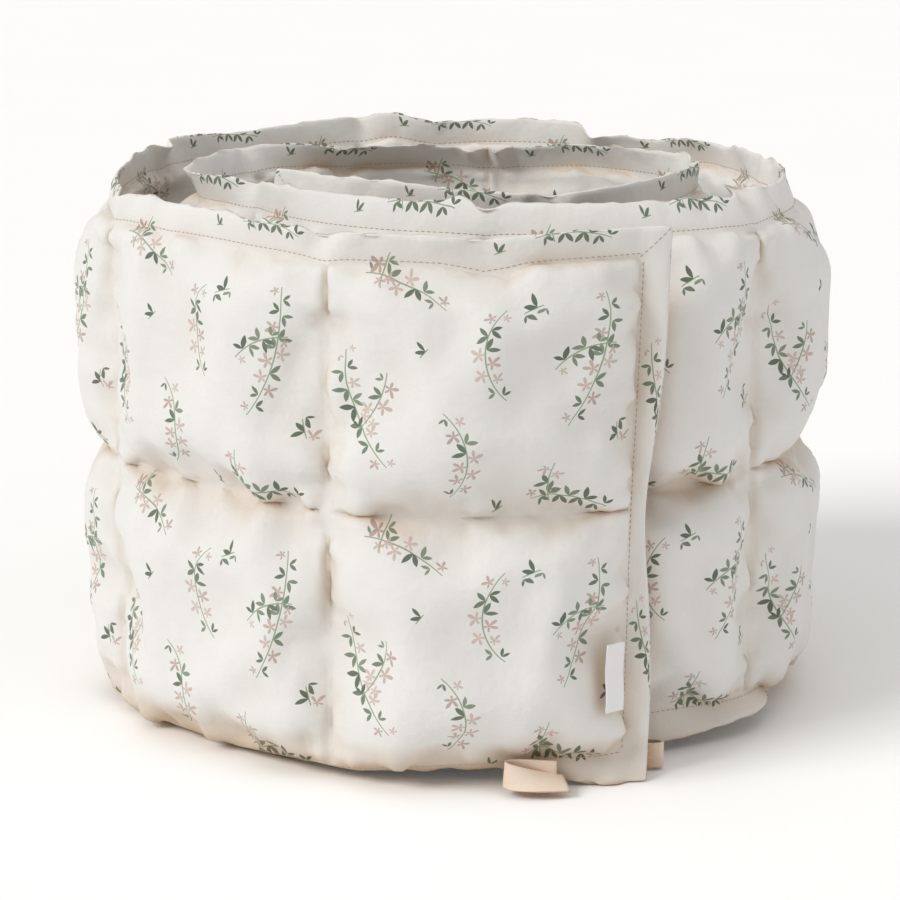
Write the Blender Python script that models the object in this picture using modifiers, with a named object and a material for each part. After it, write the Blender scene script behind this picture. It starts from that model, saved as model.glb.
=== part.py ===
"""Quilted crib bumper, loosely rolled up and standing on its long lower edge.

One long pad with two rows of filled cells and a flat stitched flange all round is wound about
two and a half turns. Two woven ties show under its lower edge, and a blank label sits in the
end seam. Metres, +Z up, origin on the surface under the middle of the roll, free end in front.
"""
import math
from collections import namedtuple

import bmesh
import bpy
from mathutils import Vector

# ---- Driving dimensions --------------------------------------------------------------------
HEIGHT = 0.300            # lower flange edge to upper flange edge
FLANGE = 0.0165           # width of the unfilled flange outside the stitching
CELL_LENGTH = 0.160       # a filled cell, measured along the pad from seam to seam
SEAM_HALF = 0.0025        # half the thickness where the quilting pins the filling
FLANGE_HALF = 0.0015      # half the thickness of the flange
FOOT_HALF = 0.0020        # half the thickness of the folded lower edge
CROWN_OUT = 0.0195        # how far a cell swells beyond its seams on the outer side
CROWN_IN = 0.0175         # and on the inner side, where the next turn presses on it
CROWN_POWER = 0.5         # 0.5 gives a full pillow, 1 a flat one

# Places of the vertical quilting seams, in plan, from the free end to the inner end. The top
# and foot leans say how far the flange's free edge falls outwards (+) or inwards (-) there.
Seam = namedtuple("Seam", "x y top_lean foot_lean")
SEAMS = [
    Seam(+0.093, -0.178, +0.002, +0.007),
    Seam(-0.063, -0.184, +0.004, -0.014),
    Seam(-0.183, -0.079, -0.006, -0.012),
    Seam(-0.172, +0.077, -0.002, -0.009),
    Seam(-0.058, +0.186, +0.003, -0.004),
    Seam(+0.096, +0.173, -0.004, -0.004),
    Seam(+0.181, +0.049, +0.004, -0.005),
    Seam(+0.163, -0.102, -0.008, +0.009),
    Seam(+0.018, -0.143, -0.003, +0.004),
    Seam(-0.107, -0.060, +0.003, -0.003),
    Seam(-0.118, +0.080, -0.004, +0.003),
    Seam(+0.023, +0.126, -0.008, +0.000),
    Seam(+0.143, +0.029, +0.003, -0.003),
    Seam(+0.047, -0.085, +0.004, +0.003),
    Seam(-0.088, -0.007, -0.003, +0.000),
]
FLANGE_WAVE = 0.003       # extra sideways wave of the flange's free edges between the seams
WAVES_PER_CELL = 1.35     # how many such waves one cell's length holds

STATIONS = (0.0, 0.10, 0.29, 0.5, 0.71, 0.90)     # sections along a cell, as parts of its length
LEVELS = (0.0, 0.12, 0.33, 0.67, 0.88, 1.0)       # sections up a cell, as parts of its height

# Ties: folds of the tape, each a point on its middle line and its lean from upright.
TIE_WIDTH = 0.014
TIE_THICK = 0.0012
Fold = namedtuple("Fold", "x y z lean_deg")
FRONT_TIE = [
    Fold(0.0560, -0.2004, 0.0100, 0),
    Fold(0.0430, -0.2006, 0.0108, 0),
    Fold(0.0310, -0.2012, 0.0115, 0),
    Fold(0.0265, -0.2052, 0.0115, -6),
    Fold(0.0325, -0.2092, 0.0104, -24),
    Fold(0.0460, -0.2090, 0.0085, -60),
    Fold(0.0610, -0.2066, 0.0075, -68),
]
END_TIE = [
    Fold(0.1010, -0.1690, 0.0085, 0),
    Fold(0.1100, -0.1705, 0.0085, 0),
    Fold(0.1160, -0.1675, 0.0085, 0),
    Fold(0.1120, -0.1635, 0.0085, 0),
    Fold(0.1030, -0.1625, 0.0085, 0),
]

# Side label: a short folded tape against the first cell, beside the end seam.
LABEL_SIZE = (0.0115, 0.0012, 0.038)
LABEL_MIDDLE_UP = 0.0625
LABEL_TO_SEAM = 0.003     # how far it is moved from the first section towards the end seam
LABEL_GAP = 0.0012


def linear(hex_colour):
    """Turn an sRGB hex colour into the linear values that a shader takes."""
    parts = [int(hex_colour[i:i + 2], 16) / 255 for i in (1, 3, 5)]
    return [c / 12.92 if c <= 0.04045 else ((c + 0.055) / 1.055) ** 2.4 for c in parts] + [1.0]


def cloth_material(name, hex_colour, roughness):
    """A plain cloth finish."""
    material = bpy.data.materials.new(name)
    material.use_nodes = True
    shader = material.node_tree.nodes["Principled BSDF"]
    shader.inputs["Base Color"].default_value = linear(hex_colour)
    shader.inputs["Roughness"].default_value = roughness
    shader.inputs["Metallic"].default_value = 0.0
    return material


def add_object(name, shape, material, collection):
    """Put a finished bmesh into the scene as a named object."""
    mesh = bpy.data.meshes.new(name)
    shape.to_mesh(mesh)
    shape.free()
    mesh.materials.append(material)
    new = bpy.data.objects.new(name, mesh)
    collection.objects.link(new)
    return new


# ---- The pad -------------------------------------------------------------------------------
def outward(direction):
    """The side of the pad that faces out of the roll, for a direction of travel along it."""
    return Vector((-direction.y, direction.x)).normalized()


def cell_line(cell, part):
    """Point on the pad's middle line in plan, and its direction, at a part of a cell's length.

    The cells are all as long as each other, so the closer two seams lie, the more the cell
    between them bows out of the roll.
    """
    start = Vector((SEAMS[cell].x, SEAMS[cell].y))
    chord = Vector((SEAMS[cell + 1].x, SEAMS[cell + 1].y)) - start
    slack = max(CELL_LENGTH - chord.length, 0.0)
    bow = math.sqrt(3 * chord.length * slack / 8)
    side = outward(chord)
    point = start + chord * part + side * (bow * 4 * part * (1 - part))
    direction = chord + side * (bow * 4 * (1 - 2 * part))
    return point, direction.normalized()


def middle_line(place):
    """Point, direction and outward side at a place counted in cells from the free end."""
    cells = len(SEAMS) - 1
    cell = min(int(place), cells - 1)
    point, direction = cell_line(cell, place - cell)
    if place == cell and cell > 0:
        before = cell_line(cell - 1, 1.0)[1]
        direction = (direction + before).normalized()
    return point, direction, outward(direction)


def pillow(part):
    """How full a cell is at a part of its length or height: 0 at its seams, 1 in its middle."""
    return max(4 * part * (1 - part), 0.0) ** CROWN_POWER


def flange_lean(place, column):
    """How far a flange's free edge lies out of the pad's plane at a place along it."""
    cell = min(int(place), len(SEAMS) - 2)
    part = place - cell
    ease = part * part * (3 - 2 * part)
    start, end = (getattr(SEAMS[i], column) for i in (cell, cell + 1))
    wave = FLANGE_WAVE * pillow(part) * math.sin(2 * math.pi * WAVES_PER_CELL * place)
    return start + (end - start) * ease + wave


def section(place, beyond=0.0):
    """Closed outline of the pad across its length: up its outer side, then down its inner side.

    beyond moves the section past an end seam into the end flange, where nothing is filled.
    """
    point, _, side = middle_line(place)
    if beyond:
        first, last = (SEAMS[0], SEAMS[1]) if beyond < 0 else (SEAMS[-2], SEAMS[-1])
        chord = Vector((last.x - first.x, last.y - first.y)).normalized()
        point, side = point + chord * beyond, outward(chord)
    full = 0.0 if beyond else pillow(place - int(place))
    seam_half = FLANGE_HALF if beyond else SEAM_HALF
    row_height = HEIGHT / 2 - FLANGE

    # Each level up the pad: height, sideways shift, and how far each skin stands off the middle.
    levels = [(0.0, flange_lean(place, "foot_lean"), FOOT_HALF, FOOT_HALF)]
    for row in (0, 1):
        for part in LEVELS[row:]:
            z = FLANGE + row_height * (row + part)
            swell = full * pillow(part)
            levels.append((z, 0.0, seam_half + CROWN_OUT * swell, seam_half + CROWN_IN * swell))
    levels.append((HEIGHT, flange_lean(place, "top_lean"), FLANGE_HALF, FLANGE_HALF))

    outer = [(point + side * (shift + out), z) for z, shift, out, _ in levels]
    inner = [(point + side * (shift - into), z) for z, shift, _, into in reversed(levels)]
    return [Vector((flat.x, flat.y, z)) for flat, z in outer + inner]


def build_pad(material, collection):
    """The whole bumper as one filled solid: sections joined along it and closed at both ends."""
    cells = len(SEAMS) - 1
    places = [cell + part for cell in range(cells) for part in STATIONS]
    outlines = [section(0.0, -FLANGE)] + [section(p) for p in places]
    outlines += [section(float(cells)), section(float(cells), FLANGE)]

    shape = bmesh.new()
    rings = [[shape.verts.new(p) for p in outline] for outline in outlines]
    count = len(rings[0])
    for one, two in zip(rings, rings[1:]):
        for i in range(count):
            j = (i + 1) % count
            shape.faces.new((one[i], one[j], two[j], two[i]))
    # Each end is a strip of quads between the outer side and the inner side.
    for ring in (rings[0], rings[-1]):
        for i in range(count // 2 - 1):
            shape.faces.new((ring[i], ring[i + 1], ring[count - 2 - i], ring[count - 1 - i]))
    bmesh.ops.recalc_face_normals(shape, faces=shape.faces)
    bmesh.ops.triangulate(shape, faces=shape.faces)
    return add_object("bumper_pad", shape, material, collection)


# ---- Ties and label ------------------------------------------------------------------------
def build_tie(name, folds, material, collection):
    """A woven tape along its folds: an open strip, rounded, then given its thickness."""
    shape = bmesh.new()
    edges = []
    for i, fold in enumerate(folds):
        before, after = folds[max(i - 1, 0)], folds[min(i + 1, len(folds) - 1)]
        along = Vector((after.x - before.x, after.y - before.y, after.z - before.z)).normalized()
        across = along.cross(Vector((0, 0, 1))).normalized()
        lean = math.radians(fold.lean_deg)
        up = Vector((0, 0, 1)) * math.cos(lean) + across * math.sin(lean)
        middle = Vector((fold.x, fold.y, fold.z))
        edges.append([shape.verts.new(middle + up * (side * TIE_WIDTH / 2)) for side in (-1, 1)])
    for one, two in zip(edges, edges[1:]):
        shape.faces.new((one[0], one[1], two[1], two[0]))
    tie = add_object(name, shape, material, collection)
    rounded = tie.modifiers.new("rounded folds", 'SUBSURF')
    rounded.levels = rounded.render_levels = 2
    rounded.boundary_smooth = 'PRESERVE_CORNERS'
    thick = tie.modifiers.new("tape thickness", 'SOLIDIFY')
    thick.thickness = TIE_THICK
    thick.offset = 0.0
    return tie


def build_label(material, collection):
    """A blank folded tape lying against the rise of the first cell, beside the end seam."""
    rise = []
    for place in STATIONS[:3]:
        point, _, side = middle_line(place)
        rise.append(point + side * (SEAM_HALF + CROWN_OUT * pillow(place)))
    run = (rise[2] - rise[0]).normalized()
    face = outward(run)
    middle = rise[1] - run * LABEL_TO_SEAM + face * (LABEL_GAP + LABEL_SIZE[1] / 2)

    bpy.ops.mesh.primitive_cube_add(size=1.0)
    label = bpy.context.object
    label.name = label.data.name = "side_label"
    label.scale = LABEL_SIZE
    bpy.ops.object.transform_apply(location=False, rotation=False, scale=True)
    label.location = (middle.x, middle.y, LABEL_MIDDLE_UP)
    label.rotation_euler.z = math.atan2(run.y, run.x)
    label.data.materials.append(material)
    for other in list(label.users_collection):
        other.objects.unlink(label)
    collection.objects.link(label)
    return label


def main():
    for old in list(bpy.data.objects):
        bpy.data.objects.remove(old, do_unlink=True)
    collection = bpy.data.collections.new("crib_bumper")
    bpy.context.scene.collection.children.link(collection)

    printed_cotton = cloth_material("printed_cotton", "#f1ede6", 0.9)
    woven_tape = cloth_material("woven_tape", "#e9dfd3", 0.85)
    satin_tape = cloth_material("satin_tape", "#f4f3f4", 0.5)

    build_pad(printed_cotton, collection)
    build_tie("tie_front", FRONT_TIE, woven_tape, collection)
    build_tie("tie_end", END_TIE, woven_tape, collection)
    build_label(satin_tape, collection)


main()
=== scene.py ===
"""Looks of the quilted crib bumper: a rolled pad of printed cotton, two woven ties, a blank label.

The pad is one closed cloth cover with modelled cells, moved by a short cloth simulation that is
held along its quilting. Its faces are wound inward, so the simulation's pressure flattens the
cells' inner sides instead of filling them. That is a known fault, not a wish.
The print is a small chart of curved sprigs that repeats over the cloth.
Metres, +Z up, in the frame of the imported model.
"""
import math
from collections import namedtuple
from functools import partial

import bmesh
import bpy
import numpy as np
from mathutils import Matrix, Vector, noise
from mathutils.bvhtree import BVHTree


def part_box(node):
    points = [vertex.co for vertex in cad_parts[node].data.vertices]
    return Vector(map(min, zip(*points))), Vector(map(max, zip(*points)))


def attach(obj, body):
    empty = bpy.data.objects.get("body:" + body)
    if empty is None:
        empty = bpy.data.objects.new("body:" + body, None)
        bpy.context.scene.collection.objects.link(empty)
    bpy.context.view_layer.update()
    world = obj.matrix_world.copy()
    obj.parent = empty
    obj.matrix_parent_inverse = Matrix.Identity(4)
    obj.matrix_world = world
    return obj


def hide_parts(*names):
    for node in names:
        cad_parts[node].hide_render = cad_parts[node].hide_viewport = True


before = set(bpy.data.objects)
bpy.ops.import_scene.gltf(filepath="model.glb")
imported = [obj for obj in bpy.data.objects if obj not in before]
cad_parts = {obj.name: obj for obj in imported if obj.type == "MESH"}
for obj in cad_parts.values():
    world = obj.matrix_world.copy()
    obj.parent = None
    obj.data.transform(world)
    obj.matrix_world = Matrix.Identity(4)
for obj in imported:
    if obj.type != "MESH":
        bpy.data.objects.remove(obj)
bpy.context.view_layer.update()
scene = bpy.context.scene

# ---- The pad, in the sizes it was cut to ---------------------------------------------------
HEIGHT = 0.300              # lower flange edge to upper flange edge
FLANGE = 0.0165             # width of the unfilled flange outside the stitching
CELL_LENGTH = 0.160         # a filled cell along the pad, seam to seam
CELL_HEIGHT = HEIGHT / 2 - FLANGE
SEAM_HALF = 0.0007          # half the thickness where the quilting goes through
FLANGE_HALF = 0.0010        # half the thickness of the flange
CROWN_OUT = 0.0195          # how far a full cell swells on its outer side
CROWN_IN = 0.0175           # and on its inner side
START_FILL = 0.80           # how full the cells are before the simulation
LIMIT = 0.0065              # the most that the simulation may move a point

# Places of the vertical quilting seams, in plan, from the free end to the inner end.
Seam = namedtuple("Seam", "x y")
SEAMS = [
    Seam(+0.093, -0.178), Seam(-0.063, -0.184), Seam(-0.183, -0.079), Seam(-0.172, +0.077),
    Seam(-0.058, +0.186), Seam(+0.096, +0.173), Seam(+0.181, +0.049), Seam(+0.163, -0.102),
    Seam(+0.018, -0.143), Seam(-0.107, -0.060), Seam(-0.118, +0.080), Seam(+0.023, +0.126),
    Seam(+0.143, +0.029), Seam(+0.047, -0.085), Seam(-0.088, -0.007),
]
CELLS = len(SEAMS) - 1
END_LEAN = 0.009            # how far the end seam leans from foot to top, along the pad
END_PINCH = 0.42            # how much narrower the end flange is where the middle seam pulls it
PINCH_REACH = 0.055         # how far up and down that pull is felt
END_WAVE = 0.0035           # how far the end flange's free edge waves out of its plane
END_WAVE_RATE = 38.0        # radians of that wave in a metre of height
FLANGE_BEND = 1.3           # how much more a flange bends at its free edge than at its stitching
FULLNESS = 3.3              # the higher, the flatter a cell's middle and the steeper its sides

# The top flange: at a place, how far its free edge falls out of the roll, and how much higher
# it stands than where it was cut.
Rim = namedtuple("Rim", "place out up")
RIM = [
    Rim(0.0, +0.002, 0.000), Rim(0.5, +0.003, -0.001), Rim(1.0, +0.004, -0.001),
    Rim(1.5, -0.002, 0.001), Rim(2.0, -0.006, 0.001), Rim(2.5, -0.004, 0.001),
    Rim(3.0, -0.002, 0.005), Rim(3.5, +0.001, 0.001), Rim(4.0, +0.003, 0.002),
    Rim(4.13, +0.004, 0.004), Rim(4.3, -0.003, -0.003), Rim(4.5, +0.002, -0.001),
    Rim(4.86, +0.003, 0.000), Rim(5.0, -0.007, -0.006), Rim(5.3, -0.006, -0.005),
    Rim(5.6, -0.005, -0.002), Rim(6.0, +0.004, -0.002), Rim(6.5, -0.008, 0.000),
    Rim(7.0, -0.012, 0.003), Rim(7.5, -0.010, 0.005), Rim(8.0, -0.010, 0.005),
    Rim(8.5, -0.010, 0.005), Rim(9.0, -0.002, 0.004), Rim(9.5, +0.007, -0.001),
    Rim(10.0, +0.006, 0.000), Rim(10.5, -0.015, -0.005), Rim(11.0, -0.010, -0.006),
    Rim(11.5, -0.009, 0.000), Rim(12.0, +0.003, 0.002), Rim(12.5, -0.002, 0.002),
    Rim(13.0, +0.006, 0.001), Rim(13.5, +0.002, 0.003), Rim(14.0, -0.003, 0.000),
]
# The foot: how far the lower free edge falls out of the roll, how high the lowest stitching
# runs, and how high the free edge lies. Most of it is tucked flat under the pad.
Foot = namedtuple("Foot", "place out seam_up edge_up")
FOOT = [
    Foot(0.00, +0.010, 0.0165, 0.000), Foot(0.10, +0.009, 0.0160, 0.000),
    Foot(0.30, -0.007, 0.0170, 0.008), Foot(0.55, -0.010, 0.0140, 0.007),
    Foot(1.0, -0.013, 0.0085, 0.002), Foot(1.5, -0.013, 0.0045, 0.000),
    Foot(4.0, -0.012, 0.0050, 0.000), Foot(6.3, -0.010, 0.0070, 0.000),
    Foot(6.7, -0.004, 0.0170, 0.009), Foot(7.0, +0.011, 0.0200, 0.011),
    Foot(7.35, +0.006, 0.0250, 0.006), Foot(8.0, +0.004, 0.0200, 0.002),
    Foot(9.0, -0.003, 0.0130, 0.000),
    Foot(14.0, +0.000, 0.0130, 0.000),
]
# Pleats of the top flange: where, how wide, how far the free edge is pushed out of the roll,
# and how far it is drawn down with the stitching below it.
Pleat = namedtuple("Pleat", "place half_width out drop seam_drop")
PLEATS = [
    Pleat(0.49, 0.075, -0.003, 0.003, 0.0065),
    Pleat(0.62, 0.050, +0.004, 0.000, 0.000),
    Pleat(1.02, 0.050, -0.006, 0.003, 0.002),
    Pleat(1.30, 0.060, +0.004, 0.001, 0.000),
    Pleat(1.72, 0.060, -0.004, 0.002, 0.001),
    Pleat(2.00, 0.040, +0.005, 0.003, 0.001),
    Pleat(2.96, 0.050, -0.009, 0.003, 0.002),
    Pleat(3.08, 0.045, +0.006, 0.001, 0.001),
    Pleat(3.45, 0.060, +0.004, 0.002, 0.001),
    Pleat(4.02, 0.030, +0.009, 0.002, 0.001),
    Pleat(4.98, 0.040, -0.007, 0.003, 0.001),
    Pleat(5.20, 0.045, +0.006, 0.003, 0.001),
    Pleat(5.42, 0.045, -0.005, -0.002, 0.001),
    Pleat(5.63, 0.045, +0.006, 0.003, 0.001),
    Pleat(5.82, 0.045, -0.005, -0.002, 0.001),
    Pleat(6.97, 0.040, -0.012, -0.004, 0.003),
    Pleat(7.06, 0.030, +0.006, 0.002, 0.001),
    Pleat(8.00, 0.040, +0.008, 0.003, 0.001),
    Pleat(8.08, 0.035, -0.005, -0.002, 0.001),
    Pleat(9.05, 0.050, -0.006, 0.004, 0.001),
    Pleat(9.60, 0.060, +0.005, 0.003, 0.000),
    Pleat(10.00, 0.040, +0.006, 0.002, 0.001),
    Pleat(10.40, 0.060, -0.004, 0.002, 0.001),
    Pleat(10.96, 0.022, -0.010, 0.003, 0.001),
    Pleat(11.00, 0.022, +0.012, 0.002, 0.001),
    Pleat(11.05, 0.022, -0.010, 0.003, 0.001),
    Pleat(12.00, 0.045, -0.006, 0.003, 0.001),
    Pleat(12.95, 0.035, -0.010, 0.003, 0.002),
    Pleat(13.03, 0.030, +0.008, -0.002, 0.000),
]

# Gathers along the stitching: how far apart they are, how deep, how soon
# they fade away from the seam, and a number that places them.
Gather = namedtuple("Gather", "spacing depth fade seed")
GATHERS = [
    Gather(0.0080, 0.0040, 0.009, 0.0),
    Gather(0.0190, 0.0062, 0.024, 40.0),
]
SEAM_CLEAR = 0.002          # the gathers start this far from the thread
RIPPLE_LENGTH = 0.013       # length of one ripple along the edge
RIPPLE = 0.0028             # how far the flanges' free edges ripple

# ---- How finely the cover is modelled ------------------------------------------------------
COLUMNS = 20                # mesh columns in a cell's length
ROWS = 16                   # mesh rows in a cell's height
COLUMN_GATHER = 0.65        # how strongly the columns crowd towards the seams
ROW_GATHER = 0.7            # and the rows
INNER_PRINT_ALONG = 0.37    # how many cells further along the print starts on the inner skin
SEAM_CREASE = 0.9           # how sharp rounding leaves the quilting, from 0 to 1
FLANGE_ROWS = 3
SIMULATED_FRAMES = 20

# ---- Floor, light and camera ---------------------------------------------------------------
FLOOR_HALF = 6.0
FLOOR_DROP = 0.0004         # keeps the floor just clear of the cloth that rests on it
SKY_STRENGTH = 0.41
Lamp = namedtuple("Lamp", "name place spread_deg strength colour")
LAMPS = [
    Lamp("key", (-1.95, -1.05, 1.7), 26.0, 1.90, "#fffefc"),
    Lamp("top", (0.0, -0.2, 2.0), 60.0, 0.60, "#ffffff"),
    Lamp("fill", (1.8, -0.5, 0.8), 70.0, 0.45, "#ffffff"),
]
CAMERA_AT = Vector((-0.0006, -1.653, 0.575))
CAMERA_AIM = Vector((-0.0006, -0.007, 0.1356))
CAMERA_LENS_MM = 117.0
CAMERA_SENSOR_MM = 36.0

# ---- Ties and label ------------------------------------------------------------------------
TIE_WIDTH = 0.014
TIE_THICK = 0.0012
Fold = namedtuple("Fold", "x y z lean_deg")
FRONT_TIE = [
    Fold(0.0560, -0.2004, 0.0100, 0),
    Fold(0.0430, -0.2006, 0.0108, 0),
    Fold(0.0310, -0.2012, 0.0115, 0),
    Fold(0.0265, -0.2052, 0.0115, -6),
    Fold(0.0325, -0.2092, 0.0104, -24),
    Fold(0.0460, -0.2090, 0.0085, -60),
    Fold(0.0610, -0.2046, 0.0062, -72),
]
END_TIE = [
    Fold(0.1010, -0.1690, 0.0085, 0),
    Fold(0.1100, -0.1705, 0.0085, 0),
    Fold(0.1160, -0.1675, 0.0085, 0),
    Fold(0.1120, -0.1635, 0.0085, 0),
    Fold(0.1030, -0.1625, 0.0085, 0),
]
LABEL_SIZE = (0.0115, 0.038)
LABEL_THICK = 0.0008

# ---- Stitching -----------------------------------------------------------------------------
STITCH_LENGTH = 0.0024
STITCH_GAP = 0.0008
STITCH_OFF = 0.0020         # how far the topstitching runs outside the edge of the filling
THREAD_HALF = 0.00026

FOLD_REACH = 0.030          # how near another fold has to be for the painted shade to darken and warm the cloth

# ---- The printed sprigs, in millimetres of cloth -------------------------------------------
# Each row is one curved stem: its middle, the way it points there, the radius of its curve
# (which bulges to the left of that way) and half its length. Stems and their side branches are
# two charts, because a branch lies on its stem.
REPEAT_MM = (160.0, 140.0)
Sprig = namedtuple("Sprig", "x y turn_deg radius half_length")
STEMS = [
    Sprig(80, 91, 90, 30, 27),
    Sprig(137, 84, -104, 90, 36),
    Sprig(15, 58, 114, 80, 33),
    Sprig(72, 38, -86, 34, 27),
    Sprig(125, 10, -4, 60, 20),
    Sprig(42, 126, -22, 60, 22),
]
BRANCHES = [
    Sprig(128, 90, 24, 34, 16),
    Sprig(26, 62, -112, 50, 17),
    Sprig(113, 19, 92, 60, 14),
    Sprig(30, 133, 75, 40, 8),
    Sprig(50, 92, 50, 60, 3),
    Sprig(104, 113, 20, 60, 5),
    Sprig(151, 44, 100, 60, 5),
    Sprig(88, 3, 10, 60, 3),
]
ITEM_SPACING = 9.4          # leaves or flowers on one side of a stem
ITEM_STAND = 3.0            # how far the middle of each stands off the stem
STEM_HALF = 0.42
STEM_TIP = 0.6              # a stem's tip, as a part of its middle's thickness
SHRINK_FROM = 0.35          # part of the half length from which leaves and flowers get smaller
TIP_SHRINK = 1.75           # and how many times smaller they are at the tips
GROWTH = (0.95, 1.25)       # the range by which leaves and flowers differ in size
SWING = 0.7                 # how far each is turned at most, in radians
FLOWERING = 0.5             # the share of places that hold leaves, not a flower
PETALS = 5
PETAL_REACH = 4.0           # from the flower's middle to the end of a petal
PETAL_UNEVEN = 1.2          # how much longer the petals are on one side
PETAL_NARROW = 1.6
FLOWER_EYE = 0.35           # the round middle of a flower
LEAF_HALF = 3.7             # half the length of a leaf
LEAF_WIDE = 1.35            # half its width
LEAF_FOOT = 3.2             # from the item's middle back to where the two leaves meet
LEAF_OPEN = 0.95            # how far each leaf turns out from the stem's side, in radians


def linear(hex_colour):
    """Turn an sRGB hex colour into the linear values that a shader takes."""
    parts = [int(hex_colour[i:i + 2], 16) / 255 for i in (1, 3, 5)]
    return [c / 12.92 if c <= 0.04045 else ((c + 0.055) / 1.055) ** 2.4 for c in parts] + [1.0]


def add_node(tree, kind, *values, named=None, **settings):
    """Add one node. Inputs come in order or by name, as numbers or as sockets to link."""
    new = tree.nodes.new("ShaderNode" + kind)
    for key, value in settings.items():
        setattr(new, key, value)
    shown = [socket for socket in new.inputs if socket.enabled]
    pairs = list(zip(shown, values)) + [(new.inputs[k], v) for k, v in (named or {}).items()]
    for socket, value in pairs:
        if isinstance(value, bpy.types.NodeSocket):
            tree.links.new(value, socket)
        elif value is not None:
            socket.default_value = value
    return next((socket for socket in new.outputs if socket.enabled), None)


def new_material(name):
    """An empty node material, its tree, and a short way to add nodes to it."""
    material = bpy.data.materials.new(name)
    material.use_nodes = True
    material.node_tree.nodes.clear()
    return material, partial(add_node, material.node_tree)


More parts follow.
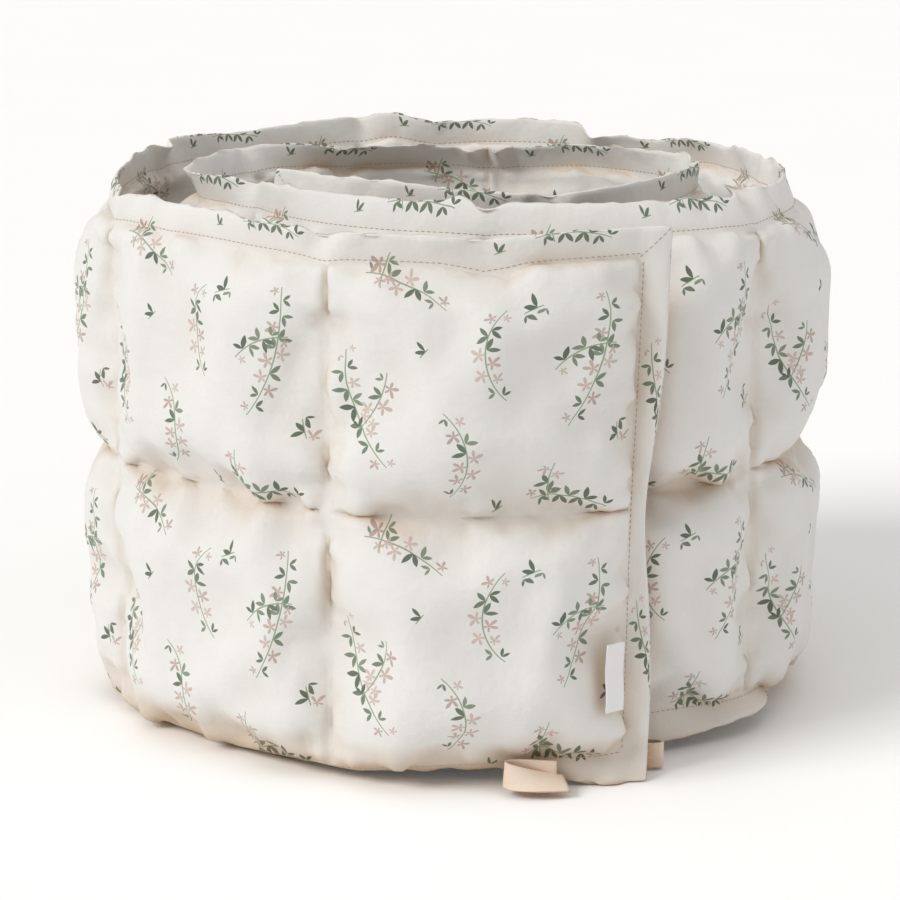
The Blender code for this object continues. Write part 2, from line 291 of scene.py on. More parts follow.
# ---- Materials -----------------------------------------------------------------------------
def draw_sprigs(add, cloth_mm, chart):
    """Masks of the stems, leaves and flowers that one chart draws, and a shade for each item.

    Every point of the cloth first finds the sprig whose middle is nearest, then looks along and
    across that sprig's curved stem to see which leaf or flower it falls in.
    """
    wide, tall = REPEAT_MM
    local = form = distance = None
    for sprig in chart:
        high = (sprig.x + wide / 2, sprig.y + tall / 2, 1)
        low = (sprig.x - wide / 2, sprig.y - tall / 2, -1)
        wrapped = add("VectorMath", cloth_mm, high, low, operation='WRAP')
        here = add("VectorMath", wrapped, (sprig.x, sprig.y, 0), operation='SUBTRACT')
        far = add("VectorMath", here, operation='LENGTH')
        shape = (-math.radians(sprig.turn_deg), sprig.radius, sprig.half_length)
        if local is None:
            local, distance = here, far
            form = add("CombineXYZ", *shape)
            continue
        nearer = add("Math", far, distance, operation='LESS_THAN')
        local = add("Mix", nearer, local, here, data_type='VECTOR')
        form = add("Mix", nearer, form, shape, data_type='VECTOR')
        distance = add("Math", far, distance, operation='MINIMUM')

    turn, radius, half_length = add("SeparateXYZ", form).node.outputs
    turned = add("VectorRotate", named={"Vector": local, "Angle": turn}, rotation_type='Z_AXIS')
    to_centre = add("CombineXYZ", 0.0, radius, 0.0)
    spoke = add("VectorMath", turned, to_centre, operation='ADD')
    spoke_x, spoke_y, _ = add("SeparateXYZ", spoke).node.outputs
    reach = add("VectorMath", spoke, operation='LENGTH')
    angle = add("Math", spoke_x, spoke_y, operation='ARCTAN2')
    along = add("Math", angle, radius, operation='MULTIPLY')
    across = add("Math", reach, radius, operation='SUBTRACT')

    # Leaves and flowers sit alternately on the two sides of the stem.
    side = add("Math", across, 0.0, operation='GREATER_THAN')
    step = add("Math", along, ITEM_SPACING, operation='DIVIDE')
    step = add("Math", side, 0.5, step, operation='MULTIPLY_ADD')
    number = add("Math", step, operation='FLOOR')
    part = add("Math", step, operation='FRACT')
    item_x = add("Math", part, ITEM_SPACING, -ITEM_SPACING / 2, operation='MULTIPLY_ADD')
    off_stem = add("Math", across, operation='ABSOLUTE')
    item_y = add("Math", off_stem, ITEM_STAND, operation='SUBTRACT')
    code = add("CombineXYZ", number, side, turn)
    chance = add("TexWhiteNoise", code, noise_dimensions='3D').node.outputs["Color"]
    pick, tilt, shade = add("SeparateColor", chance).node.outputs

    # Everything on a stem gets smaller towards its tips.
    tip = add("Math", along, half_length, operation='DIVIDE')
    tip = add("Math", tip, operation='ABSOLUTE')
    on_stem = add("Math", tip, 1.0, operation='LESS_THAN')
    middle_along = add("Math", along, item_x, operation='SUBTRACT')
    middle_along = add("Math", middle_along, operation='ABSOLUTE')
    inside = add("Math", middle_along, half_length, operation='LESS_THAN')
    taper = add("MapRange", tip, SHRINK_FROM, 1.0, 1.0, TIP_SHRINK)
    growth = add("MapRange", shade, 0.0, 1.0, *GROWTH)
    shrink = add("Math", taper, growth, operation='MULTIPLY')
    item = add("CombineXYZ", item_x, item_y, 0.0)
    item = add("VectorMath", named={"Vector": item, "Scale": shrink}, operation='SCALE')
    swing = add("MapRange", tilt, 0.0, 1.0, -SWING, SWING)
    item = add("VectorRotate", named={"Vector": item, "Angle": swing}, rotation_type='Z_AXIS')
    x, y, _ = add("SeparateXYZ", item).node.outputs

    # A flower has five narrow round petals.
    bearing = add("Math", y, x, operation='ARCTAN2')
    lobe = add("Math", bearing, PETALS / 2, operation='MULTIPLY')
    lobe = add("Math", lobe, operation='COSINE')
    lobe = add("Math", lobe, operation='ABSOLUTE')
    uneven = add("Math", bearing, operation='SINE')
    uneven = add("Math", uneven, PETAL_UNEVEN, PETAL_REACH, operation='MULTIPLY_ADD')
    lobe = add("Math", lobe, PETAL_NARROW, operation='POWER')
    petal = add("Math", lobe, uneven, FLOWER_EYE, operation='MULTIPLY_ADD')
    from_middle = add("VectorMath", item, operation='LENGTH')
    flower = add("Math", from_middle, petal, operation='LESS_THAN')

    # A pair of pointed leaves opens from the stem.
    mirrored = add("Math", x, operation='ABSOLUTE')
    leaf = add("CombineXYZ", mirrored, y, 0.0)
    leaf = add("VectorMath", leaf, (0.0, LEAF_FOOT, 0.0), operation='ADD')
    leaf = add("VectorRotate", named={"Vector": leaf, "Angle": -LEAF_OPEN}, rotation_type='Z_AXIS')
    leaf_x, leaf_y, _ = add("SeparateXYZ", leaf).node.outputs
    middle = add("Math", leaf_x, 1 / LEAF_HALF, -1.0, operation='MULTIPLY_ADD')
    middle = add("Math", middle, middle, operation='MULTIPLY')
    width = add("Math", middle, -LEAF_WIDE, LEAF_WIDE, operation='MULTIPLY_ADD')
    leaf_y = add("Math", leaf_y, operation='ABSOLUTE')
    leaves = add("Math", leaf_y, width, operation='LESS_THAN')

    flowering = add("Math", pick, FLOWERING, operation='GREATER_THAN')
    flower = add("Math", flower, flowering, operation='MULTIPLY')
    flower = add("Math", flower, inside, operation='MULTIPLY')
    leafing = add("Math", inside, flowering, operation='SUBTRACT')
    leaves = add("Math", leaves, leafing, operation='MULTIPLY')
    thin = add("MapRange", tip, 0.0, 1.0, STEM_HALF, STEM_HALF * STEM_TIP)
    stem = add("Math", off_stem, thin, operation='LESS_THAN')
    stem = add("Math", stem, on_stem, operation='MULTIPLY')
    return stem, leaves, flower, shade


def printed_cotton():
    """Plain-weave cotton, bleached to a warm white and printed with small sprigs.

    It reads as a matt, soft surface with a faint thread grain. The ink soaks in, so the print is
    as matt as the cloth.
    """
    material, add = new_material("printed_cotton")
    cloth = add("UVMap", uv_map="cloth")
    cloth_mm = add("VectorMath", named={"Vector": cloth, "Scale": 1000.0}, operation='SCALE')

    # Uneven yarn gives the plain cloth slow, faint changes of tone.
    slub = add("TexNoise", named={"Vector": cloth_mm, "Scale": 0.06, "Detail": 3.0})
    colour = add("Mix", slub, linear("#dcdbd8"), linear("#e2e1df"), data_type='RGBA')
    for chart in (STEMS, BRANCHES):
        stem, leaves, flower, shade = draw_sprigs(add, cloth_mm, chart)
        green = add("Mix", shade, linear("#5e6b5c"), linear("#86937f"), data_type='RGBA')
        pink = add("Mix", shade, linear("#b5a19a"), linear("#ccbab3"), data_type='RGBA')
        colour = add("Mix", stem, colour, linear("#93a48c"), data_type='RGBA')
        colour = add("Mix", leaves, colour, green, data_type='RGBA')
        colour = add("Mix", flower, colour, pink, data_type='RGBA')

    # Painted shade: near other folds, in the seams and between the turns, the colour is darkened and
    # warmed, as light that has gone from fold to fold would make it.
    open_sky = add("AmbientOcclusion", named={"Distance": FOLD_REACH}, samples=6)
    open_sky = add("Math", open_sky.node.outputs["AO"], 1.5, operation='POWER')
    painted_fold_shade = add("Mix", open_sky, linear("#dfc09c"), linear("#ffffff"), data_type='RGBA')
    colour = add("Mix", 1.0, colour, painted_fold_shade, data_type='RGBA', blend_type='MULTIPLY')

    # Threads are 0.4 mm apart in both directions; they are drawn at 0.8 mm so that they show.
    thread = 1 / 0.8 / 2
    warp = add("TexWave", cloth_mm, thread, 0.6, bands_direction='X')
    weft = add("TexWave", cloth_mm, thread, 0.6, bands_direction='Y')
    weave = add("Math", warp.node.outputs["Fac"], weft.node.outputs["Fac"], operation='ADD')
    crease = add("TexNoise", named={"Vector": cloth_mm, "Scale": 0.11, "Detail": 4.0})
    grain = add("Bump", named={"Height": weave, "Strength": 0.10, "Distance": 0.0004})
    relief = add("Bump", named={
        "Height": crease, "Strength": 0.22, "Distance": 0.004, "Normal": grain})
    rough = add("MapRange", weave, 0.0, 2.0, 0.95, 0.82)
    shader = add("BsdfPrincipled", named={
        "Base Color": colour, "Roughness": rough, "Normal": relief,
        "Sheen Weight": 0.15, "Sheen Roughness": 0.6, "Specular IOR Level": 0.25})
    add("OutputMaterial", shader)
    return material


def woven_tape():
    """Natural cotton tape in a close herringbone weave: matt cream with fine diagonal ribs."""
    material, add = new_material("woven_tape")
    place = add("UVMap", uv_map="cloth")
    place_mm = add("VectorMath", named={"Vector": place, "Scale": 1000.0}, operation='SCALE')
    folded = add("VectorMath", place_mm, operation='ABSOLUTE')
    rib = add("TexWave", folded, 0.45, 0.8, bands_direction='DIAGONAL').node.outputs["Fac"]
    colour = add("Mix", rib, linear("#e6d5c3"), linear("#f2e8db"), data_type='RGBA')
    # Painted shade: where other folds are near, as inside the ties' loops, the tape's colour is
    # darkened and warmed.
    open_sky = add("AmbientOcclusion", named={"Distance": FOLD_REACH}, samples=6)
    open_sky = open_sky.node.outputs["AO"]
    painted_fold_shade = add("Mix", open_sky, linear("#d8b088"), linear("#ffffff"), data_type='RGBA')
    colour = add("Mix", 1.0, colour, painted_fold_shade, data_type='RGBA', blend_type='MULTIPLY')
    relief = add("Bump", named={"Height": rib, "Strength": 0.5, "Distance": 0.0004})
    shader = add("BsdfPrincipled", named={
        "Base Color": colour, "Roughness": 0.88, "Normal": relief,
        "Sheen Weight": 0.15, "Specular IOR Level": 0.25})
    add("OutputMaterial", shader)
    return material


def satin_tape():
    """White polyester satin: smooth, with a low gloss and faint threads across its width."""
    material, add = new_material("satin_tape")
    place = add("UVMap", uv_map="cloth")
    place_mm = add("VectorMath", named={"Vector": place, "Scale": 1000.0}, operation='SCALE')
    thread = add("TexWave", place_mm, 0.9, 0.3, bands_direction='Y').node.outputs["Fac"]
    colour = add("Mix", thread, linear("#e2e1e2"), linear("#ebebec"), data_type='RGBA')
    relief = add("Bump", named={"Height": thread, "Strength": 0.2, "Distance": 0.0002})
    rough = add("MapRange", thread, 0.0, 1.0, 0.36, 0.44)
    shader = add("BsdfPrincipled", named={
        "Base Color": colour, "Roughness": rough, "Normal": relief})
    add("OutputMaterial", shader)
    return material


def sewing_thread():
    """Beige spun polyester thread: matt, with a twist too fine to see from a step away."""
    material, add = new_material("sewing_thread")
    place = add("TexCoord").node.outputs["Object"]
    twist = add("TexNoise", named={"Vector": place, "Scale": 900.0})
    colour = add("Mix", twist, linear("#9c8b73"), linear("#bcab92"), data_type='RGBA')
    shader = add("BsdfPrincipled", named={"Base Color": colour, "Roughness": 0.7})
    add("OutputMaterial", shader)
    return material


def studio_paper():
    """Matt white paper, for the floor."""
    material, add = new_material("studio_paper")
    fibre = add("TexNoise", named={"Scale": 60.0, "Detail": 2.0})
    colour = add("Mix", fibre, linear("#fbfbfb"), linear("#fdfdfd"), data_type='RGBA')
    shader = add("BsdfPrincipled", named={
        "Base Color": colour, "Roughness": 0.95, "Specular IOR Level": 0.1})
    add("OutputMaterial", shader)
    return material


# ---- The pad's line in plan ----------------------------------------------------------------
def outward(direction):
    """The side of the pad that faces out of the roll, for a direction of travel along it."""
    return Vector((-direction.y, direction.x)).normalized()


def cell_line(cell, part):
    """Point on the pad's middle line in plan, and its direction, at a part of a cell's length."""
    start = Vector(SEAMS[cell][:2])
    chord = Vector(SEAMS[cell + 1][:2]) - start
    bow = math.sqrt(3 * chord.length * max(CELL_LENGTH - chord.length, 0.0) / 8)
    side = outward(chord)
    point = start + chord * part + side * (bow * 4 * part * (1 - part))
    direction = chord + side * (bow * 4 * (1 - 2 * part))
    return point, direction.normalized()


def middle_line(place):
    """Point, direction and outward side at a place counted in cells from the free end."""
    cell = min(int(place), CELLS - 1)
    point, direction = cell_line(cell, place - cell)
    if place == cell and cell > 0:
        direction = (direction + cell_line(cell - 1, 1.0)[1]).normalized()
    return point, direction, outward(direction)


def pillow(part):
    """How full a cell is at a part of its length or height: 0 at its seams, 1 in its middle.

    It rises steeply out of the seam and is nearly flat in the middle, as a well filled cell is.
    """
    return math.sqrt(max(1 - abs(2 * part - 1) ** FULLNESS, 0.0))


def spaced(count, gather):
    """Parts from 0 to 1, drawn towards both ends by gather, where a cell curves most."""
    even = np.linspace(0, 1, count + 1)
    return (1 - gather) * even + gather * 0.5 * (1 - np.cos(np.pi * even))


def between(table, place, column):
    """A column's value at a place, eased from one row of the table to the next."""
    for low, high in zip(table, table[1:]):
        if place <= high.place:
            break
    part = min(max((place - low.place) / (high.place - low.place), 0.0), 1.0)
    ease = part * part * (3 - 2 * part)
    return getattr(low, column) * (1 - ease) + getattr(high, column) * ease


# ---- The pad's cover -----------------------------------------------------------------------
def pleats_at(place):
    """Push outwards, drop of the free edge and drop of the stitching, summed over the pleats."""
    total = Vector((0.0, 0.0, 0.0))
    for pleat in PLEATS:
        near = math.exp(-((place - pleat.place) / pleat.half_width) ** 2)
        total += near * Vector((pleat.out, pleat.drop, pleat.seam_drop))
    return total


def pucker(place, height, skin):
    """Gathers that run out of the seams and fade towards the middle of each cell, in metres."""
    row_part = (height - FLANGE) / CELL_HEIGHT % 1.0
    from_row = min(row_part, 1 - row_part) * CELL_HEIGHT
    cell_part = place % 1.0
    from_column = min(cell_part, 1 - cell_part) * CELL_LENGTH
    length = place * CELL_LENGTH
    total = 0.0
    for gather in GATHERS:
        row_seed = (length / gather.spacing, skin * 7.0, gather.seed + round(height / CELL_HEIGHT))
        column_seed = (skin * 7.0, height / gather.spacing, gather.seed + 3.0 + round(place))
        total += gather.depth * (noise.noise(row_seed) * math.exp(-from_row / gather.fade)
                                 + noise.noise(column_seed) * math.exp(-from_column / gather.fade))
    at_seam = min(from_row, from_column) / SEAM_CLEAR
    return total * min(at_seam, 1.0)


def levels():
    """Heights up the flat pad: flange, two rows of cells, flange."""
    flange = np.linspace(0, FLANGE, FLANGE_ROWS + 1)[:-1]
    cell = spaced(ROWS, ROW_GATHER)[:-1] * CELL_HEIGHT + FLANGE
    low = list(flange) + list(cell) + list(cell + CELL_HEIGHT)
    return low + [HEIGHT / 2 + CELL_HEIGHT] + [HEIGHT - z for z in reversed(flange)]


def section(place, beyond, heights):
    """Points of the outer skin and of the inner skin at a place, foot to top."""
    point, direction, side = middle_line(place)
    if beyond:
        first, last = (SEAMS[0], SEAMS[1]) if beyond < 0 else (SEAMS[-2], SEAMS[-1])
        direction = Vector((last.x - first.x, last.y - first.y)).normalized()
        side = outward(direction)
    push, drop, seam_drop = pleats_at(place)
    along = 0.0 if beyond else pillow(place % 1.0)
    end_fade = max(1.0 - place, 0.0) ** 2
    foot_out, seam_up, edge_up = (between(FOOT, place, c) for c in ("out", "seam_up", "edge_up"))
    rim_out, rim_up = (between(RIM, place, c) for c in ("out", "up"))
    skins = ([], [])
    for z in heights:
        foot_part = max(1 - z / FLANGE, 0.0)
        top_part = max((z - (HEIGHT - FLANGE)) / FLANGE, 0.0)
        shift = foot_part ** FLANGE_BEND * foot_out + top_part ** FLANGE_BEND * (rim_out + push)
        near_top = max(1 - abs(z - (HEIGHT - FLANGE)) / (2 * FLANGE), 0.0)
        if foot_part > 0:
            height = edge_up + (seam_up - edge_up) * z / FLANGE
        elif z < HEIGHT / 2:
            height = HEIGHT / 2 - (HEIGHT / 2 - z) * (HEIGHT / 2 - seam_up) / CELL_HEIGHT
        else:
            height = z + rim_up * ((z - HEIGHT / 2) / (HEIGHT / 2)) ** 2
        height -= seam_drop * near_top * (1 - top_part) + drop * top_part
        reach = beyond
        if beyond < 0:
            pinch = math.exp(-((z - HEIGHT / 2) / PINCH_REACH) ** 2)
            reach *= 1 - END_PINCH * pinch
            shift += END_WAVE * math.sin(z * END_WAVE_RATE) * beyond / -FLANGE
        lean = END_LEAN * (z / HEIGHT - 0.5) * end_fade
        flat = point + side * shift + direction * (reach - lean)
        is_flange = foot_part > 0 or top_part > 0 or bool(beyond)
        swell = 0.0 if is_flange else along * pillow((z - FLANGE) / CELL_HEIGHT % 1.0)
        half = FLANGE_HALF if is_flange else SEAM_HALF
        for skin, way, crown in ((0, 1, CROWN_OUT), (1, -1, CROWN_IN)):
            spot = flat + side * (way * (half + crown * START_FILL * swell))
            skins[skin].append((spot.x, spot.y, height))
    return skins


def cover_grid():
    """All sections of the cover: their places along the pad and the points of their skins."""
    heights = levels()
    ends = [FLANGE * (k + 1) / FLANGE_ROWS for k in range(FLANGE_ROWS)]
    places = [cell + part for cell in range(CELLS) for part in spaced(COLUMNS, COLUMN_GATHER)[:-1]]
    stops = [(0.0, -b) for b in reversed(ends)] + [(p, 0.0) for p in places]
    stops += [(float(CELLS), 0.0)] + [(float(CELLS), b) for b in ends]
    return heights, stops, [section(place, beyond, heights) for place, beyond in stops]


def build_cover(material):
    """The cover as a closed mesh of quads, with flat cloth places in a UV map.

    Its faces are wound inward.
    """
    heights, stops, sections = cover_grid()
    rows = len(heights)
    ring = 2 * rows
    points = [p for outer, inner in sections for p in outer + inner[::-1]]
    faces = []
    for c in range(len(sections) - 1):
        for r in range(ring):
            s = (r + 1) % ring
            faces.append((c * ring + r, (c + 1) * ring + r, (c + 1) * ring + s, c * ring + s))
    last = (len(sections) - 1) * ring
    for r in range(rows - 1):
        near, far = ring - 2 - r, ring - 1 - r
        faces.append((r, r + 1, near, far))
        faces.append((last + r, last + far, last + near, last + r + 1))

    mesh = bpy.data.meshes.new("bumper_cover")
    mesh.from_pydata(points, [], faces)
    mesh.materials.append(material)
    lengths = np.array([place * CELL_LENGTH + beyond for place, beyond in stops])
    flat = np.zeros((len(sections), ring, 2))
    flat[:, :rows, 0] = -lengths[:, None]
    flat[:, rows:, 0] = lengths[:, None] + CELL_LENGTH * INNER_PRINT_ALONG
    flat[:, :rows, 1] = np.array(heights) - HEIGHT / 2
    flat[:, rows:, 1] = np.array(heights[::-1]) - HEIGHT / 2
    flat = flat.reshape(-1, 2)
    corner = np.zeros(len(mesh.loops), int)
    mesh.loops.foreach_get("vertex_index", corner)
    place_uv = flat[corner]
    # The turned edges at top and foot carry on the outer skin's cloth.
    for face in mesh.polygons[:ring * (len(sections) - 1)]:
        row = face.index % ring
        if row not in (rows - 1, ring - 1):
            continue
        for loop in face.loop_indices:
            column, at = divmod(int(corner[loop]), ring)
            if at >= rows:
                past = 2 * FLANGE_HALF if row == rows - 1 else -2 * FLANGE_HALF
                place_uv[loop] = flat[column * ring + ring - 1 - at] + (0.0, past)
    layer = mesh.uv_layers.new(name="cloth")
    layer.uv.foreach_set("vector", place_uv.ravel())
    marks = {"place": np.repeat([place - (beyond < 0) * 0.01 for place, beyond in stops], ring),
             "height": np.tile(heights + heights[::-1], len(sections)),
             "skin": np.tile([0.0] * rows + [1.0] * rows, len(sections))}
    for name, values in marks.items():
        mark = mesh.attributes.new(name, 'FLOAT', 'POINT')
        mark.data.foreach_set("value", np.asarray(values, np.float32))

    held, creased = set(), set()
    seam_rows = [FLANGE_ROWS, FLANGE_ROWS + ROWS, FLANGE_ROWS + 2 * ROWS]
    seam_rows += [ring - 1 - r for r in seam_rows]
    for c, (place, beyond) in enumerate(stops):
        seam_column = beyond == 0.0 and place == int(place)
        for r in range(ring):
            row = r if r < rows else ring - 1 - r
            flange = row <= FLANGE_ROWS or row >= FLANGE_ROWS + 2 * ROWS
            if beyond or flange or seam_column or r in seam_rows:
                held.add(c * ring + r)
            if (seam_column and not flange) or r in seam_rows:
                creased.add(c * ring + r)
    crease = mesh.attributes.new("crease_edge", 'FLOAT', 'EDGE')
    for edge in mesh.edges:
        a, b = edge.vertices
        if a in creased and b in creased:
            crease.data[edge.index].value = SEAM_CREASE
    pad = bpy.data.objects.new("bumper_cover", mesh)
    scene.collection.objects.link(pad)
    group = pad.vertex_groups.new(name="held")
    group.add(sorted(held), 1.0, 'REPLACE')
    return pad, stops, ring


def places_of(thing):
    """The evaluated positions of an object's points."""
    seen = thing.evaluated_get(bpy.context.evaluated_depsgraph_get())
    flat = np.zeros(len(seen.data.vertices) * 3, np.float32)
    seen.data.vertices.foreach_get("co", flat)
    return flat.reshape(-1, 3)


def fill_cells(pad):
    """Move the cells' cloth by pressure, held at its stitching, and keep the result.

    The cover's faces are wound inward. The inner sides move towards the outer ones, as far as
    LIMIT lets them, and the outer sides move out a little.
    """
    start = places_of(pad)
    cloth = pad.modifiers.new("filling", 'CLOTH')
    settings = cloth.settings
    settings.quality = 6
    settings.mass = 0.15
    settings.tension_stiffness = 20
    settings.compression_stiffness = 20
    settings.shear_stiffness = 8
    settings.bending_stiffness = 0.3
    settings.use_pressure = True
    settings.uniform_pressure_force = 5.0
    settings.shrink_min = -0.05
    settings.effector_weights.gravity = 0.0
    settings.vertex_group_mass = "held"
    cloth.point_cache.frame_start = 1
    cloth.point_cache.frame_end = SIMULATED_FRAMES
    for step in range(1, SIMULATED_FRAMES + 1):
        scene.frame_set(step)
    moved = places_of(pad) - start
    pad.modifiers.remove(cloth)
    scene.frame_set(1)
    length = np.linalg.norm(moved, axis=1, keepdims=True)
    moved *= np.minimum(1.0, LIMIT / np.maximum(length, 1e-9))
    pad.data.vertices.foreach_set("co", (start + moved).ravel())
    pad.data.update()


def smooth_mesh(thing, levels_up):
    """Round an object's mesh by subdivision and keep the result as its mesh."""
    rounded = thing.modifiers.new("rounding", 'SUBSURF')
    rounded.levels = rounded.render_levels = levels_up
    rounded.uv_smooth = 'PRESERVE_BOUNDARIES'
    seen = thing.evaluated_get(bpy.context.evaluated_depsgraph_get())
    mesh = bpy.data.meshes.new_from_object(seen)
    thing.modifiers.clear()
    thing.data = mesh
    mesh.shade_smooth()


def gather_seams(pad):
    """Move the gathers along the cover's inward normals and ripple the flanges' free edges."""
    mesh = pad.data
    count = len(mesh.vertices)
    marks = {}
    for name in ("place", "height", "skin"):
        marks[name] = np.zeros(count, np.float32)
        mesh.attributes[name].data.foreach_get("value", marks[name])
    spots, normals = np.zeros((2, count * 3), np.float32)
    mesh.vertices.foreach_get("co", spots)
    mesh.vertex_normals.foreach_get("vector", normals)
    depth = np.zeros(count)
    for i, (place, height, skin) in enumerate(zip(*marks.values())):
        past_seam = max(FLANGE - height, height - (HEIGHT - FLANGE), 0.0)
        if past_seam or place < 0 or place >= CELLS:
            way = 1 - 2 * round(skin)
            ripple = noise.noise((place * CELL_LENGTH / RIPPLE_LENGTH, height / 0.03, 9.0))
            depth[i] = way * RIPPLE * ripple * past_seam / FLANGE
        else:
            depth[i] = pucker(place, height, round(skin))
    spots = spots.reshape(-1, 3) + normals.reshape(-1, 3) * depth[:, None]
    spots[:, 2] = np.maximum(spots[:, 2], 0.0)
    mesh.vertices.foreach_set("co", spots.ravel())
    for name in marks:
        mesh.attributes.remove(mesh.attributes[name])
    mesh.update()


# ---- Stitching -----------------------------------------------------------------------------
def lay_stitches(shape, surface, route):
    """Thread stitches end to end along a route, set off by the nearest surface's normals."""
    route = [Vector(p) for p in route]
    spans = [(b - a).length for a, b in zip(route, route[1:])]
    total = sum(spans)
    at, index, passed = 0.0, 0, 0.0

    def spot(distance):
        nonlocal index, passed
        while index < len(spans) - 1 and passed + spans[index] < distance:
            passed += spans[index]
            index += 1
        part = (distance - passed) / max(spans[index], 1e-9)
        return route[index].lerp(route[index + 1], min(max(part, 0.0), 1.0))

    while at + STITCH_LENGTH < total:
        ends = []
        for distance in (at, at + STITCH_LENGTH / 2, at + STITCH_LENGTH):
            place = spot(distance)
            on, normal, _, _ = surface.find_nearest(place)
            ends.append((on, normal))
        (a, na), (m, nm), (b, nb) = ends
        way = (b - a).normalized()
        across = way.cross(nm).normalized() * THREAD_HALF
        up = nm * THREAD_HALF
        tips = [shape.verts.new(a - na * THREAD_HALF), shape.verts.new(b - nb * THREAD_HALF)]
        belt = [shape.verts.new(m + v) for v in (across, up * 1.6, -across, -up * 0.4)]
        for i in range(4):
            j = (i + 1) % 4
            shape.faces.new((tips[0], belt[i], belt[j]))
            shape.faces.new((tips[1], belt[j], belt[i]))
        at += STITCH_LENGTH + STITCH_GAP


def build_stitching(pad, grid, stops, ring, material):
    """Topstitching along the flange, on both skins. The quilting's own stitches are left off."""
    surface = BVHTree.FromObject(pad, bpy.context.evaluated_depsgraph_get())
    shape = bmesh.new()
    columns = [c for c, (_, beyond) in enumerate(stops) if beyond == 0.0]
    top = FLANGE_ROWS + 2 * ROWS
    set_off = STITCH_OFF * FLANGE_ROWS / FLANGE

    def beside(c, r, next_c, next_r):
        near, far = Vector(grid[c, r]), Vector(grid[next_c, next_r])
        return near.lerp(far, set_off)

    for skin in (0, 1):
        def on_skin(row):
            return ring - 1 - row if skin else row
        lay_stitches(shape, surface, [beside(c, on_skin(top), c, on_skin(top + 1)) for c in columns])
        lay_stitches(shape, surface, [beside(c, on_skin(FLANGE_ROWS), c, on_skin(FLANGE_ROWS - 1))
                                      for c in columns])
        up = range(FLANGE_ROWS, top + 1)
        for c, step in ((columns[0], -1), (columns[-1], 1)):
            lay_stitches(shape, surface, [beside(c, on_skin(r), c + step, on_skin(r)) for r in up])
            corner = grid[c + step * FLANGE_ROWS, on_skin(top + FLANGE_ROWS)]
            lay_stitches(shape, surface, [grid[c, on_skin(top)], corner])
    mesh = bpy.data.meshes.new("stitching")
    bmesh.ops.recalc_face_normals(shape, faces=shape.faces)
    shape.to_mesh(mesh)
    shape.free()
    mesh.materials.append(material)
    mesh.shade_smooth()
    stitching = bpy.data.objects.new("stitching", mesh)
    scene.collection.objects.link(stitching)
    return stitching


# ---- Ties and label ------------------------------------------------------------------------
def build_tape(name, lines, thick, material, rounds):
    """A tape from pairs of edge points along it, rounded and given its thickness."""
    mesh = bpy.data.meshes.new(name)
    count = len(lines[0])
    points = [p for line in lines for p in line]
    faces = [(i * count + j, (i + 1) * count + j, (i + 1) * count + j + 1, i * count + j + 1)
             for i in range(len(lines) - 1) for j in range(count - 1)]
    mesh.from_pydata(points, [], faces)
    mesh.materials.append(material)
    steps = np.cumsum([0.0] + [(Vector(b[0]) - Vector(a[0])).length
                               for a, b in zip(lines, lines[1:])])
    wide = (Vector(lines[0][-1]) - Vector(lines[0][0])).length
    flat = [((j / (count - 1) - 0.5) * wide, steps[i])
            for i in range(len(lines)) for j in range(count)]
    layer = mesh.uv_layers.new(name="cloth")
    for loop in mesh.loops:
        layer.uv[loop.index].vector = flat[loop.vertex_index]
    tape = bpy.data.objects.new(name, mesh)
    scene.collection.objects.link(tape)
    round_it = tape.modifiers.new("rounded folds", 'SUBSURF')
    round_it.levels = round_it.render_levels = rounds
    round_it.boundary_smooth = 'PRESERVE_CORNERS'
    body = tape.modifiers.new("tape thickness", 'SOLIDIFY')
    body.thickness = thick
    body.offset = 0.0
    seen = tape.evaluated_get(bpy.context.evaluated_depsgraph_get())
    tape.data = bpy.data.meshes.new_from_object(seen)
    tape.modifiers.clear()
    tape.data.shade_smooth()
    return tape


def build_tie(name, folds, material):
    """A woven tape along its folds."""
    lines = []
    for i, fold in enumerate(folds):
        before, after = folds[max(i - 1, 0)], folds[min(i + 1, len(folds) - 1)]
        along = (Vector(after[:3]) - Vector(before[:3])).normalized()
        across = along.cross(Vector((0, 0, 1))).normalized()
        lean = math.radians(fold.lean_deg)
        up = Vector((0, 0, 1)) * math.cos(lean) + across * math.sin(lean)
        middle = Vector(fold[:3])
        lines.append([middle + up * (part * TIE_WIDTH) for part in (-0.5, -0.17, 0.17, 0.5)])
    return build_tape(name, lines, TIE_THICK, material, 3)


def build_label(material):
    """A blank folded tape beside the end seam, along the slope of the first cell.

    It has the place of the CAD's label, which is some millimetres clear of this cover.
    """
    low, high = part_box("side_label")
    wide, tall = LABEL_SIZE
    middle = (low + high) / 2
    run = Vector((high.x - low.x, high.y - low.y, 0.0)).normalized()
    face = Vector((run.y, -run.x, 0.0))
    lines = []
    for k in range(7):
        up = (k / 6 - 0.5) * tall
        curl = 0.0006 * math.sin(k * 1.3)
        line = []
        for j in range(4):
            side = (j / 3 - 0.5) * wide
            lift = curl + 0.0009 * (j / 3) ** 2
            line.append(middle + run * side + face * lift + Vector((0, 0, up)))
        lines.append(line)
    return build_tape("side_label_tape", lines, LABEL_THICK, material, 2)


# ---- Floor, light and camera ---------------------------------------------------------------
def build_floor(material):
    """A wide plain floor for the roll to stand on."""
    mesh = bpy.data.meshes.new("floor")
    half = FLOOR_HALF
    mesh.from_pydata([(-half, -half, 0), (half, -half, 0), (half, half, 0), (-half, half, 0)],
                     [], [(0, 1, 2, 3)])
    mesh.materials.append(material)
    floor = bpy.data.objects.new("floor", mesh)
    scene.collection.objects.link(floor)
    floor.location.z = -FLOOR_DROP
    return floor


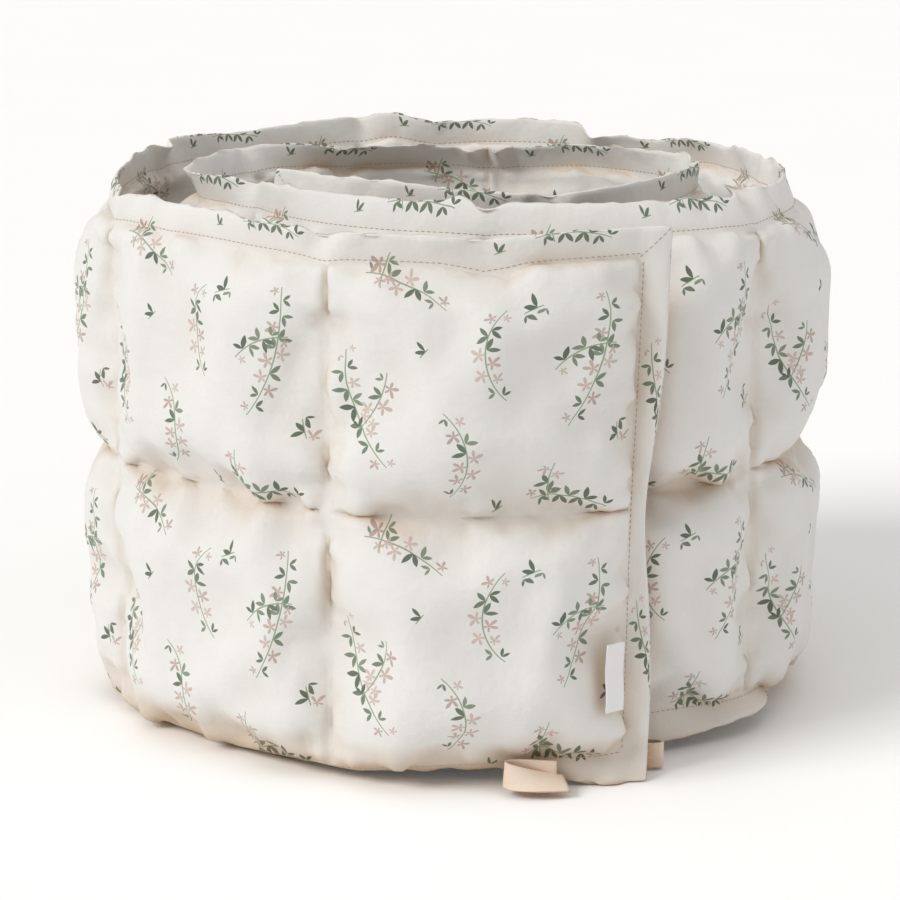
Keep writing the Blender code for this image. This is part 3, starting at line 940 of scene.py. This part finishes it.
def add_lamp(lamp):
    """Even light from one side, as soft as from a large panel of that spread."""
    light = bpy.data.lights.new(lamp.name, 'SUN')
    light.angle = math.radians(lamp.spread_deg)
    light.energy = lamp.strength
    light.color = linear(lamp.colour)[:3]
    holder = bpy.data.objects.new(lamp.name, light)
    holder.location = lamp.place
    holder.rotation_euler = (-Vector(lamp.place)).to_track_quat('-Z', 'Y').to_euler()
    scene.collection.objects.link(holder)


def light_studio():
    """A pale, even sky with three lamps, and plain colour handling."""
    world = bpy.data.worlds.new("studio")
    scene.world = world
    world.use_nodes = True
    sky = world.node_tree.nodes["Background"]
    sky.inputs["Color"].default_value = linear("#fffcf8")
    sky.inputs["Strength"].default_value = SKY_STRENGTH
    for lamp in LAMPS:
        add_lamp(lamp)
    scene.view_settings.view_transform = 'Standard'


def place_camera():
    camera = bpy.data.objects.new("camera", bpy.data.cameras.new("camera"))
    scene.collection.objects.link(camera)
    camera.data.lens = CAMERA_LENS_MM
    camera.data.sensor_width = CAMERA_SENSOR_MM
    camera.location = CAMERA_AT
    camera.rotation_euler = (CAMERA_AIM - CAMERA_AT).to_track_quat('-Z', 'Y').to_euler()
    camera.data.clip_start, camera.data.clip_end = 0.05, 50.0
    scene.camera = camera


# ---- Everything together -------------------------------------------------------------------
place_camera()
light_studio()
floor = build_floor(studio_paper())

cotton = printed_cotton()
pad, stops, ring = build_cover(cotton)
fill_cells(pad)
smooth_mesh(pad, 1)
gather_seams(pad)
# Rounding keeps the first points of the mesh first, so the sections are still found in it.
grid = places_of(pad)[:len(stops) * ring].reshape(len(stops), ring, 3)
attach(pad, "root")
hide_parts("bumper_pad")

stitching = build_stitching(pad, grid, stops, ring, sewing_thread())
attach(stitching, "root")

tape = woven_tape()
for node, folds, name in (("tie_front", FRONT_TIE, "front_tie_tape"),
                          ("tie_end", END_TIE, "end_tie_tape")):
    tie = build_tie(name, folds, tape)
    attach(tie, "root")
    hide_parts(node)

label = build_label(satin_tape())
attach(label, "root")
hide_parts("side_label")

bpy.context.view_layer.update()
